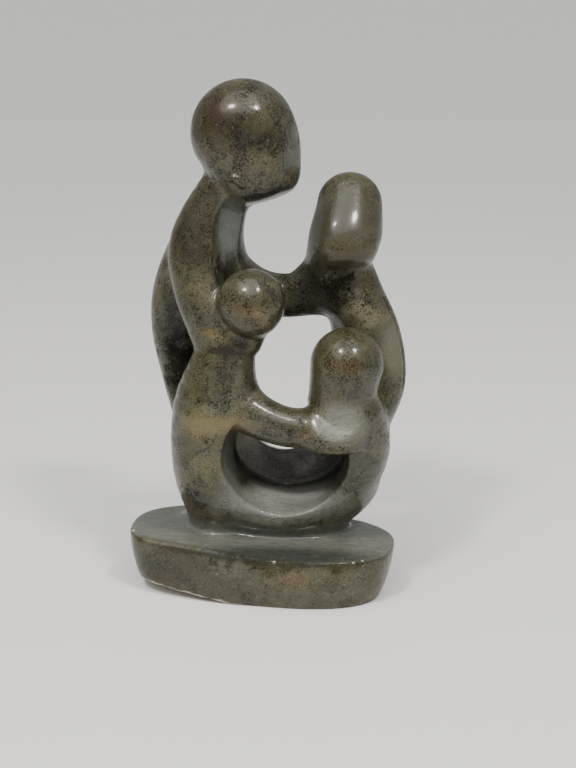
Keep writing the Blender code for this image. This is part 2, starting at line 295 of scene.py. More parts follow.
def makeLimbTree():
    # distance to a tapered limb with round ends, its section widened along Y by depth
    labels = ("Point", "Start", "End")
    kinds = dict.fromkeys(labels, "Vector")
    kinds |= dict.fromkeys(("Start radius", "End radius", "Depth"), "Float")
    tree, given = newTree("taperedLimb", kinds, "Distance", "Float")
    narrow = addNode(tree, "ShaderNodeMath", (1.0, given["Depth"]), operation="DIVIDE")
    squeeze = addNode(tree, "ShaderNodeCombineXYZ", (1.0, narrow, 1.0))
    squeezed = []
    for label in labels:
        squeezed.append(addNode(tree, "ShaderNodeVectorMath", (given[label], squeeze), operation="MULTIPLY"))
    point, start, end = squeezed
    out = addNode(tree, "ShaderNodeVectorMath", (point, start), operation="SUBTRACT")
    along = addNode(tree, "ShaderNodeVectorMath", (end, start), operation="SUBTRACT")
    done = addNode(tree, "ShaderNodeVectorMath", (out, along), output="Value", operation="DOT_PRODUCT")
    whole = addNode(tree, "ShaderNodeVectorMath", (along, along), output="Value", operation="DOT_PRODUCT")
    share = addNode(tree, "ShaderNodeMath", (done, whole), operation="DIVIDE")
    share = addNode(tree, "ShaderNodeClamp", (share, 0.0, 1.0))
    nearest = addNode(tree, "ShaderNodeVectorMath", {0: along, "Scale": share}, operation="SCALE")
    apart = addNode(tree, "ShaderNodeVectorMath", (out, nearest), output="Value", operation="DISTANCE")
    first, last = given["Start radius"], given["End radius"]
    growth = addNode(tree, "ShaderNodeMath", (last, first), operation="SUBTRACT")
    radius = addNode(tree, "ShaderNodeMath", (share, growth, first), operation="MULTIPLY_ADD")
    distance = addNode(tree, "ShaderNodeMath", (apart, radius), operation="SUBTRACT")
    addNode(tree, "NodeGroupOutput", (distance,))
    return tree


def makeEggTree():
    # distance to an ellipsoid, turned about the vertical
    kinds = {"Point": "Vector", "Centre": "Vector", "Radii": "Vector", "Turn": "Float"}
    tree, given = newTree("egg", kinds, "Distance", "Float")
    turned = {"Vector": given["Point"], "Center": given["Centre"], "Angle": given["Turn"]}
    local = addNode(tree, "ShaderNodeVectorRotate", turned, rotation_type="Z_AXIS", invert=True)
    local = addNode(tree, "ShaderNodeVectorMath", (local, given["Centre"]), operation="SUBTRACT")
    once = addNode(tree, "ShaderNodeVectorMath", (local, given["Radii"]), operation="DIVIDE")
    twice = addNode(tree, "ShaderNodeVectorMath", (once, given["Radii"]), operation="DIVIDE")
    size = addNode(tree, "ShaderNodeVectorMath", (once,), output="Value", operation="LENGTH")
    slope = addNode(tree, "ShaderNodeVectorMath", (twice,), output="Value", operation="LENGTH")
    slope = addNode(tree, "ShaderNodeMath", (slope, 0.000001), operation="MAXIMUM")  # never a division by 0
    excess = addNode(tree, "ShaderNodeMath", (size, 1.0), operation="SUBTRACT")
    scaled = addNode(tree, "ShaderNodeMath", (size, slope), operation="DIVIDE")
    distance = addNode(tree, "ShaderNodeMath", (excess, scaled), operation="MULTIPLY")
    addNode(tree, "NodeGroupOutput", (distance,))
    return tree


def makeSlabTree():
    # distance to the base: an oval with blunt ends, drawn in below, its top domed and falling to the right
    kinds = {"Point": "Vector", "Length": "Float", "Depth": "Float", "Thickness": "Float"}
    tree, given = newTree("ovalBase", kinds, "Distance", "Float")
    turned = {"Vector": given["Point"], "Angle": math.radians(baseTurn)}
    local = addNode(tree, "ShaderNodeVectorRotate", turned, rotation_type="Z_AXIS", invert=True)
    parts = addNode(tree, "ShaderNodeSeparateXYZ", (local,), None).outputs
    shares = []
    for part, size in ((parts["X"], given["Length"]), (parts["Y"], given["Depth"])):
        half = addNode(tree, "ShaderNodeMath", (size, 0.5), operation="MULTIPLY")
        shares.append(addNode(tree, "ShaderNodeMath", (part, half), operation="DIVIDE"))
    powers = []
    for share in shares:
        size = addNode(tree, "ShaderNodeMath", (share,), operation="ABSOLUTE")
        powers.append(addNode(tree, "ShaderNodeMath", (size, base["bluntness"]), operation="POWER"))
    reach = addNode(tree, "ShaderNodeMath", powers, operation="ADD")
    reach = addNode(tree, "ShaderNodeMath", (reach, 1 / base["bluntness"]), operation="POWER")
    reach = addNode(tree, "ShaderNodeMath", (reach, 0.01), operation="MAXIMUM")  # never a division by 0
    flat = addNode(tree, "ShaderNodeCombineXYZ", (parts["X"], parts["Y"], 0.0))
    far = addNode(tree, "ShaderNodeVectorMath", (flat,), output="Value", operation="LENGTH")
    rim = addNode(tree, "ShaderNodeMath", (far, reach), operation="DIVIDE")
    wall = addNode(tree, "ShaderNodeMath", (far, rim), operation="SUBTRACT")
    depth = addNode(tree, "ShaderNodeMath", (parts["Z"], given["Thickness"]), operation="DIVIDE")
    below = addNode(tree, "ShaderNodeMapRange", (depth, 0.0, 1.0, 1.0, 0.0), clamp=True)
    below = addNode(tree, "ShaderNodeMath", (below, 2.0), operation="POWER")
    wall = addNode(tree, "ShaderNodeMath", (below, base["taper"], wall), operation="MULTIPLY_ADD")
    top = addNode(tree, "ShaderNodeMath", (parts["Z"], given["Thickness"]), operation="SUBTRACT")
    top = addNode(tree, "ShaderNodeMath", (shares[0], base["fall"] / 2, top), operation="MULTIPLY_ADD")
    bulge = addNode(tree, "ShaderNodeMath", (reach, 2.0), operation="POWER")
    top = addNode(tree, "ShaderNodeMath", (bulge, base["dome"], top), operation="MULTIPLY_ADD")
    slab = addNode(tree, "ShaderNodeMath", (wall, top, base["rimRound"]), operation="SMOOTH_MAX")
    addNode(tree, "NodeGroupOutput", (slab,))
    return tree


def smoothCourse(stations, steps=4):
    # points and radii on a Catmull-Rom line through the stations
    padded = [stations[0], *stations, stations[-1]]
    course = []
    for before, here, there, after in zip(padded, padded[1:], padded[2:], padded[3:]):
        for step in range(steps):
            t = step / steps
            course.append(
                [
                    b + 0.5 * t * (c - a + t * (2 * a - 5 * b + 4 * c - d + t * (3 * (b - c) + d - a)))
                    for a, b, c, d in zip(before, here, there, after)
                ]
            )
    return course + [list(stations[-1])]


def makeCarvingTree():
    kinds = dict.fromkeys(carving, "Float") | {"Stone": "Material"}
    tree, given = newTree("familyGroupCarving", kinds, "Geometry", "Geometry")
    limbTree, eggTree, slabTree = makeLimbTree(), makeEggTree(), makeSlabTree()
    position = addNode(tree, "GeometryNodeInputPosition")
    millimetres = addNode(tree, "ShaderNodeVectorMath", {0: position, "Scale": perMetre}, operation="SCALE")
    foot = addNode(tree, "ShaderNodeCombineXYZ", (0.0, given["Stand back"], given["Base thickness"]))
    groupScale = addNode(tree, "ShaderNodeMath", (drawnHeight, given["Group height"]), operation="DIVIDE")
    groupPoint = addNode(tree, "ShaderNodeVectorMath", (position, foot), operation="SUBTRACT")
    scaled = {0: groupPoint, "Scale": groupScale}
    groupPoint = addNode(tree, "ShaderNodeVectorMath", scaled, operation="SCALE")

    def limb(stations, depth=1.0):
        course = smoothCourse(stations)
        whole = None
        for start, end in zip(course, course[1:]):
            inputs = (groupPoint, start[:3], end[:3], start[3], end[3], depth)
            piece = addNode(tree, "GeometryNodeGroup", inputs, node_tree=limbTree)
            whole = addNode(tree, "ShaderNodeMath", (whole, piece), operation="MINIMUM") if whole else piece
        return whole

    def egg(centre, radii, point=groupPoint, turn=0.0):
        inputs = (point, centre, radii, math.radians(turn))
        return addNode(tree, "GeometryNodeGroup", inputs, node_tree=eggTree)

    def behind(place, facing):
        # all that lies behind a flat face
        offset = addNode(tree, "ShaderNodeVectorMath", (groupPoint, place), operation="SUBTRACT")
        inputs = (offset, Vector(facing).normalized())
        return addNode(tree, "ShaderNodeVectorMath", inputs, output="Value", operation="DOT_PRODUCT")

    def join(form, other, fillet):
        return addNode(tree, "ShaderNodeMath", (form, other, fillet), operation="SMOOTH_MIN")

    def trim(form, limit, edge):
        return addNode(tree, "ShaderNodeMath", (form, limit, edge), operation="SMOOTH_MAX")

    def cut(form, cutter, edge):
        outside = addNode(tree, "ShaderNodeMath", (cutter, -1.0), operation="MULTIPLY")
        return trim(form, outside, edge)

    def flatten(form, flats):
        for place, facing, edge in flats:
            form = trim(form, behind(place, facing), edge)
        return form

    def relief(size, detail, reach):
        # uneven ground, its lumps this many millimetres wide and this many between high and low
        inputs = {"Vector": millimetres, "W": given["Seed"], "Scale": 1 / size, "Detail": detail}
        noise = addNode(tree, "ShaderNodeTexNoise", inputs, noise_dimensions="4D")
        centred = addNode(tree, "ShaderNodeMath", (noise, 0.5), operation="SUBTRACT")
        return addNode(tree, "ShaderNodeMath", (centred, reach), operation="MULTIPLY")

    # The parents, leaning together over the children.
    fatherBody = join(limb(father["frontArm"]), limb(father["innerArm"]), fillets["fatherArms"])
    fatherBody = cut(fatherBody, limb(father["trough"]), fillets["trough"])
    fatherBody = join(fatherBody, limb(father["back"]), fillets["fatherBack"])
    fatherHead = flatten(limb(father["skull"], father["skullDepth"]), father["skullFlats"])
    motherHead = flatten(limb(mother["skull"], mother["skullDepth"]), mother["skullFlats"])
    motherHead = join(motherHead, limb(mother["neck"]), fillets["motherNeck"])
    motherHead = flatten(motherHead, mother["neckFlats"])
    motherBody = join(limb(mother["frontArm"]), limb(mother["back"]), fillets["motherBack"])
    fatherWhole = join(fatherBody, fatherHead, fillets["fatherHead"])
    fatherWhole = join(fatherWhole, limb(father["fold"]), fillets["fold"])
    motherWhole = join(motherBody, motherHead, fillets["motherHead"])
    motherWhole = cut(motherWhole, limb(mother["backLine"]), fillets["backLine"])
    parents = join(fatherWhole, motherWhole, fillets["bridge"])
    parents = join(parents, limb(mother["web"]), fillets["web"])

    # The children, who close the ring in front.
    leftBody = join(limb(children["leftBody"]), limb(children["leftNeck"]), fillets["leftNeck"])
    leftChild = join(leftBody, egg(*children["leftHead"]), fillets["leftHead"])
    rightChild = join(limb(children["rightBody"]), limb(children["rightHead"]), fillets["rightHead"])
    bothChildren = join(leftChild, rightChild, fillets["children"])

    # The lower body that all four grow out of, hollowed under the children's arms.
    waist = egg(*lowerBody["waist"], turn=baseTurn)
    group = join(egg(*lowerBody["bowl"]), waist, fillets["waist"])
    group = join(group, parents, fillets["parentsToBody"])
    group = join(group, bothChildren, fillets["childrenToBody"])
    pocket = flatten(egg(*lowerBody["pocket"]), [lowerBody["pocketFront"]])
    flare = join(limb(lowerBody["leftFlare"]), limb(lowerBody["rightFlare"]), fillets["flares"])
    hollow = flatten(join(flare, pocket, fillets["pocket"]), [lowerBody["backWall"]])
    group = cut(group, hollow, fillets["hollow"])
    group = cut(group, limb(lowerBody["wayOut"]), fillets["wayOut"])
    shoulder = flatten(egg(*children["shoulder"]), [children["shoulderFacet"]])
    arms = join(limb(children["joinedArms"]), shoulder, fillets["shoulder"])
    group = join(group, flatten(arms, [children["armsUnderside"]]), fillets["armsToBody"])

    # The base, with the corner that broke off under its left front.
    sizes = [
        addNode(tree, "ShaderNodeMath", (given[name], perMetre), operation="MULTIPLY")
        for name in ("Base length", "Base depth", "Base thickness")
    ]
    slab = addNode(tree, "GeometryNodeGroup", (millimetres, *sizes), node_tree=slabTree)
    place, facing, edge = base["frontFlat"]
    slab = trim(slab, behind(place, facing), edge)
    place, facing, edge = base["brokenCorner"]
    lumps = relief(wear["tornLump"], wear["tornDetail"], given["Broken edge"])
    torn = addNode(tree, "ShaderNodeMath", (behind(place, facing), lumps), operation="ADD")
    slab = trim(slab, torn, edge)
    stone = join(group, slab, fillets["foot"])

    # Wear: the marks of the hand tools, the chips on the rim and the pits.
    lumps = relief(wear["handLump"], wear["handDetail"], given["Hand marks"])
    stone = addNode(tree, "ShaderNodeMath", (stone, lumps), operation="ADD")
    for place, radius in base["chips"] + pits:
        radii = (radius, radius, wear["chipHeight"] * radius)
        stone = cut(stone, egg(place, radii, millimetres), wear["chipEdge"])

    # Everything under the table is sawn off.
    height = addNode(tree, "ShaderNodeSeparateXYZ", (millimetres,), "Z")
    sawn = addNode(tree, "ShaderNodeMath", (height, -1.0), operation="MULTIPLY")
    stone = addNode(tree, "ShaderNodeMath", (stone, sawn), operation="MAXIMUM")

    # The skin, out of a block of voxels.
    voxel = given["Voxel size"]
    fade = addNode(tree, "ShaderNodeMath", (voxel, fadeCells * perMetre), operation="MULTIPLY")
    depth = addNode(tree, "ShaderNodeMath", (stone, fade), operation="DIVIDE")
    density = addNode(tree, "ShaderNodeMath", (1.0, depth), operation="SUBTRACT")
    halfSize = addNode(tree, "ShaderNodeCombineXYZ", (given["Base length"], given["Base depth"], 0.0))
    halfSize = addNode(tree, "ShaderNodeVectorMath", {0: halfSize, "Scale": 0.5}, operation="SCALE")
    tall = addNode(tree, "ShaderNodeMath", (given["Base thickness"], given["Group height"]), operation="ADD")
    crown = addNode(tree, "ShaderNodeCombineXYZ", (2 * blockMargin, 2 * blockMargin, tall))
    margin = (-blockMargin, -blockMargin, -blockMargin)
    low = addNode(tree, "ShaderNodeVectorMath", (margin, halfSize), operation="SUBTRACT")
    high = addNode(tree, "ShaderNodeVectorMath", (crown, halfSize), operation="ADD")
    high = addNode(tree, "ShaderNodeVectorMath", (high, (0.0, 0.0, blockMargin)), operation="ADD")
    span = addNode(tree, "ShaderNodeVectorMath", (high, low), operation="SUBTRACT")
    steps = addNode(tree, "ShaderNodeVectorMath", (span, voxel), operation="DIVIDE")
    steps = addNode(tree, "ShaderNodeSeparateXYZ", (steps,), None).outputs
    block = {"Density": density, "Min": low, "Max": high}
    block |= {"Resolution " + axis: steps[axis] for axis in "XYZ"}
    block = addNode(tree, "GeometryNodeVolumeCube", block)
    skin = addNode(tree, "GeometryNodeVolumeToMesh", {"Volume": block, "Threshold": 1.0})

    # The sawn face lies flat on the table.
    parts = addNode(tree, "ShaderNodeSeparateXYZ", (position,), None).outputs
    lifted = addNode(tree, "ShaderNodeMath", (parts["Z"], 0.0), operation="MAXIMUM")
    settled = addNode(tree, "ShaderNodeCombineXYZ", (parts["X"], parts["Y"], lifted))
    skin = addNode(tree, "GeometryNodeSetPosition", {"Geometry": skin, "Position": settled})
    skin = addNode(tree, "GeometryNodeSetShadeSmooth", {"Geometry": skin})
    skin = addNode(tree, "GeometryNodeRealizeInstances", {"Geometry": skin})
    skin = addNode(tree, "GeometryNodeSetMaterial", {"Geometry": skin, "Material": given["Stone"]})
    addNode(tree, "NodeGroupOutput", (skin,))
    return tree


def carveStone(material):
    # the tree's result as a plain mesh, thinned and with no modifier left on it
    stone = bpy.data.objects.new("carvedStone", bpy.data.meshes.new("carvedStone"))
    bpy.context.scene.collection.objects.link(stone)
    modifier = stone.modifiers.new("carving", "NODES")
    modifier.node_group = makeCarvingTree()
    for item in modifier.node_group.interface.items_tree:
        if item.in_out == "INPUT":
            modifier[item.identifier] = material if item.name == "Stone" else carving[item.name]
    thin = stone.modifiers.new("thinner skin", "DECIMATE")
    thin.ratio = skinShare
    shown = stone.evaluated_get(bpy.context.evaluated_depsgraph_get())
    mesh = bpy.data.meshes.new_from_object(shown)
    stone.modifiers.clear()
    stone.data = mesh
    mesh.shade_smooth()
    return stone


# The stone's look. Polished soapstone (steatite with serpentine), rubbed with wax: a soft sheen with a
# sharper core where the wax lies, a grey-green body, olive and ochre veins of weathered stone, rust where
# iron came out, and dark grains of magnetite and chlorite, 1 to 2 mm wide.
stoneLook = {
    "deep": "#28291f",
    "body": "#525246",
    "pale": "#6b6b5c",
    "olive": "#59563f",
    "grain": "#14130d",
    "umber": "#3a3021",
    "slate": "#4a4d49",
    "smear": "#1d1b13",
    "talc": "#a59c86",
    # painted shade inside the pits
    "pitShade": "#070604",
    "rawStone": "#c4bcaa",
    "waxed": "#c4c3b9",  # what the wax leaves of the dry stone's colour
    "index": 1.56,  # steatite and serpentine lie between 1.54 and 1.60
    "waxRoughness": 0.13,
    "swirlReach": 22.0,  # millimetres by which the slow swirls move a pattern
    "curlReach": 5.0,  # millimetres by which the small curls move it
    "driftShare": 0.5,  # of the curls, for the patterns that keep nearer to their place
    "calmAndPaintedLightShare": 0.8,  # how much of its own colour each smooth place and each place of painted light takes
    "calmLoss": 0.8,  # how much of the speckle and the smears goes there
    "calmGrains": 0.12,  # how much rarer the grains are there
    "headGrains": 0.035,  # how much closer they lie on the father's head
    "hollowLoss": 0.8,  # how many of them go inside the hollow
    "smallMark": 3,  # millimetres, a cloud that is no thicker keeps its place and outline
    "talcStrength": 0.30,
    "tornWander": 3.0,  # millimetres by which the edge of the broken corner's raw stone wanders
}

# The patterns in the stone. Each scale is one over the pattern's width in millimetres.
stonePatterns = {
    "swirl": {"Scale": 1 / 11.11, "Detail": 3.0},
    "curl": {"Scale": 1 / 2.222, "Detail": 3.0},
    "wide": {"Scale": 1 / 35.7, "Detail": 4.0},
    "milk": {"Scale": 1 / 16.67, "Detail": 5.0, "W": 3.0},
    "patch": {"Scale": 1 / 9.09, "Detail": 6.0, "Roughness": 0.62, "W": 5.0},
    "mottle": {"Scale": 1 / 6.25, "Detail": 6.0, "Roughness": 0.65},
    "crowd": {"Scale": 1 / 7.14, "Detail": 5.0, "Roughness": 0.6, "W": 9.0},
    "grain": {"Scale": 1 / 0.8, "Detail": 5.0, "Roughness": 0.72},
    "speckle": {"Scale": 1 / 0.588, "Detail": 4.0, "Roughness": 0.75},
    "talc": {"Scale": 1 / 1.818},
    "ragged": {"Scale": 1 / 3.333, "Detail": 4.0},
    "haze": {"Scale": 1 / 2.857, "Detail": 4.0},
    # A Mapping node draws these two out, with the scales in stoneRuns.
    "brushed": {"Scale": 1.0, "Detail": 4.0},
    "smear": {"Scale": 1.0, "Detail": 5.0, "Roughness": 0.6},
}
stoneRuns = {
    "brushed": {"Scale": (1 / 7.69, 1 / 0.8333, 1 / 0.8333), "Rotation": (0.15, 0.3, -0.12)},
    "smear": {"Scale": (1 / 1.1765, 1 / 1.1765, 1 / 3.125), "Rotation": (0.35, -0.3, 0.0)},
}

# How a pattern is read: between which two of its values, and what it gives at each of them.
stoneSpans = {
    "wide": (0.38, 0.62, 0.0, 1.0),
    "milk": (0.50, 0.70, 0.0, 0.8),
    "brownPatch": (0.50, 0.68, 0.0, 0.60),
    "greyPatch": (0.46, 0.30, 0.0, 0.60),
    "deepMottle": (0.46, 0.30, 0.0, 0.50),
    "paleMottle": (0.55, 0.75, 0.0, 0.5),
    "streak": (0.3, 0.7, -0.28, 0.28),
    "crowd": (0.36, 0.66, 0.61, 0.45),
    "grain": (-0.02, 0.09, 0.0, 0.82),
    "smear": (0.46, 0.74, 0.0, 0.45),
    "speckle": (0.34, 0.66, -0.50, 0.50),
    "talc": (0.90, 1.0, 0.0, 0.30),
    "torn": (0.5, 1.1, 0.0, 0.55),
    "haze": (0.3, 0.7, 0.28, 0.42),  # the roughness of the polished stone
    "cloud": (0.35, 1.25, 1.0, 0.0),  # its full colour inside, none past the rim
}

# What dull places, grains and raw stone do to the polish.
stonePolish = {
    "sheen": 0.16,
    "wax": 0.42,
    "dullRoughness": 0.35,
    "grainRoughness": 0.12,
    "rawRoughness": 0.4,
    "dullLoss": 0.9,
    "grainLoss": 0.6,
    "grainDepth": 0.6,
    "brushedDepth": 0.25,
    "bump": {"Strength": 0.35, "Distance": 0.0002},
}

# Clouds of other colour in the stone, and some of painted shade and painted light, each with its place and
# radii in millimetres, colour and strength.
cloudsWithPaintedLightAndShade = [
    ((-18, -6, 216), (12, 14, 16), "#3b2a18", 0.8),
    ((-3, -13, 208), (17, 10, 12), "#2c2517", 0.75),
    ((1, -12, 198), (12, 9, 7), "#625c46", 0.6),
    # painted shadow under the father's jaw
    ((6, -8, 184.5), (14, 9, 4), "#232320", 0.9),
    ((-28, -4, 166), (11, 11, 18), "#35301f", 0.8),
    ((-25, -11, 143), (7, 8, 9), "#6d654d", 0.5),
    # painted shade on the father's back, behind his front arm
    ((-38, 10, 114), (10, 10, 28), "#121311", 0.95),
    # this and the next: painted shade under the bridge and under the mother's chin
    ((14, 16, 139), (14, 9, 7), "#4c4d47", 0.6),
    ((32, 6, 142), (15, 11, 11), "#242420", 0.95),
    ((35, -3, 161), (11, 8, 8), "#5f563c", 0.6),
    ((47, 7, 183), (3.5, 5, 6), "#2c2b27", 0.5),
    ((46, 4, 127), (11, 9, 9), "#8a8470", 0.65),
    ((-5, -25, 136), (9, 7, 5), "#6b5530", 0.7),
    ((2, -23, 134), (4, 5, 6), "#8a7a5c", 0.5),
    ((-19.6, -17, 126), (7, 6, 3.5), "#84744e", 0.6),
    ((-13, -19, 117), (15, 9, 5), "#1f201a", 0.85),
    ((-20, -21, 85), (21, 9, 6), "#80744f", 0.6),
    ((-24, -20, 66), (10, 9, 13), "#7c7b5a", 0.5),
    ((-29, -18, 74), (7, 7, 4), "#4d5050", 0.5),
    ((-29.5, -13, 47), (7, 9, 6), "#252420", 0.8),
    ((36.5, -26, 112), (9, 8, 4), "#5c4628", 0.6),
    ((19, -24, 82), (6, 6, 4), "#7d6452", 0.45),
    ((12.9, -24, 81.6), (1.4, 3, 2.8), "#1c1b18", 0.85),
    ((42, -20, 74.5), (9, 6, 2), "#2d2c28", 0.6),
    ((50.8, -16.6, 65.7), (4.5, 4, 0.5), "#24231f", 0.7),
    # painted shade: a flat grey over the hollow's back wall, its tone set for the shade there
    ((19, 12, 58), (31, 11, 15), "#66666c", 0.95),
    # this and the next: painted shade where the bridge meets the mother's chest
    ((22, 15, 135), (15, 14, 10), "#43433d", 0.85),
    ((30, 8, 124), (7, 10, 6), "#33332d", 0.8),
    # painted light on the front of the bowl, under the children's arms
    ((10, -24, 36), (36, 9, 7), "#8b8c82", 0.8),
    ((14, -34, 12), (34, 8, 12), "#76745f", 0.45),
    ((10.7, -32, 16), (10, 6, 5), "#86694f", 0.55),
    ((-46, -14, 9), (8, 7, 6), "#6a4937", 0.45),
    ((-48, -20, 12), (18, 12, 14), "#403e34", 0.6),
    ((-38, -17, 24), (16, 5, 2.5), "#3a3527", 0.55),
]

# Places that are rubbed smoother than the rest, where few grains show, each with its centre and radii, the
# colour of the stone there and how clearly the marks of the sanding show. Some of these colours are painted
# light, marked below.
calmPlacesAndPaintedLight = [
    # painted reflection: the father's trough made paler and bluer, standing in for its sheen
    ((-12, 0, 167), (8, 10, 19), "#757b80", 0.4),
    # this and the next two: painted light in the hollow, making its floor, its groove and its left wall paler
    # where they lie in shade
    ((9, -14, 46), (32, 15, 10), "#909294", 1.0),
    ((14, -1, 47), (26, 9, 7), "#b4b6b8", 0.5),
    ((-14, -12, 62), (6, 12, 16), "#7c8082", 1.0),
    # partly a smooth place, partly painted sheen: the broad glint on the right child's shoulder facet
    ((35, -24, 86), (13, 9, 11), "#8e908d", 1.0),
    ((60, 5, 112), (8, 11, 18), "#75766a", 0.3),
    ((-21, -21, 85), (19, 9, 5), "#7f7452", 0.3),
    ((38, 4, 172), (17, 14, 13), "#45433c", 0.0),
    ((38, 1, 155), (14, 11, 7), "#3e3828", 0.0),
    # painted light on the front of the bowl
    ((10, -24, 36), (36, 10, 7), "#a6a89f", 0.6),
    ((10, -27, 25.6), (60, 12, 4.5), "#323534", 1.0),
]

# The top of the base and the fillet above it, by their height in millimetres along the slope of that top.
baseTop = {
    "slope": (0.0366, 0.0, 1.0),
    "low": 24.9,
    "rim": 25.6,
    "foot": 29.0,
    "clear": 36.0,
    # partly the stone's own paler grey, partly painted reflection of the bright ceiling on the base's top
    "tint": "#7b7f7f",
    "sideGrains": 0.6,  # of the grains show on the base's side
}

hollowInside = ((14, 2, 60), (38, 22, 22))  # where few grains show, by its place and radii
grainyHead = ((-4, -10, 206), (24, 16, 24))  # where the grains lie closest, by its place and radii

# Places no polishing cloth reached: under the bridge, under the mother's chin, the back wall of the hollow,
# the father's back beside his arm and the front edge of the base's top.
dullPlaces = [
    ((14, 14, 134), (17, 18, 12)),
    ((32, 4, 142), (14, 12, 10)),
    ((19, 14, 60), (30, 9, 12)),
    ((-38, 12, 104), (9, 11, 24)),
    ((8, -27, 25), (70, 13, 4)),
]


smoothStep = {"interpolation_type": "SMOOTHSTEP"}
fourth = {"noise_dimensions": "4D"}  # for a pattern that has a W, so that it differs from its neighbours
mixColours = {"data_type": "RGBA"}  # the two colours are inputs 6 and 7, and the mixed one is output 2


def makeCloudTree():
    # how far a point lies inside one cloud of colour, from 1 at its heart to 0 past its rim
    tree = bpy.data.node_groups.new("stoneCloud", "ShaderNodeTree")
    for label in ("Point", "Place", "Radii"):
        tree.interface.new_socket(label, in_out="INPUT", socket_type="NodeSocketVector")
    tree.interface.new_socket("Share", in_out="OUTPUT", socket_type="NodeSocketFloat")
    given = tree.nodes.new("NodeGroupInput").outputs
    offset = addNode(tree, "ShaderNodeVectorMath", (given["Point"], given["Place"]), operation="SUBTRACT")
    offset = addNode(tree, "ShaderNodeVectorMath", (offset, given["Radii"]), operation="DIVIDE")
    size = addNode(tree, "ShaderNodeVectorMath", (offset,), "Value", operation="LENGTH")
    share = addNode(tree, "ShaderNodeMapRange", (size, *stoneSpans["cloud"]), **smoothStep)
    addNode(tree, "NodeGroupOutput", (share,))
    return tree


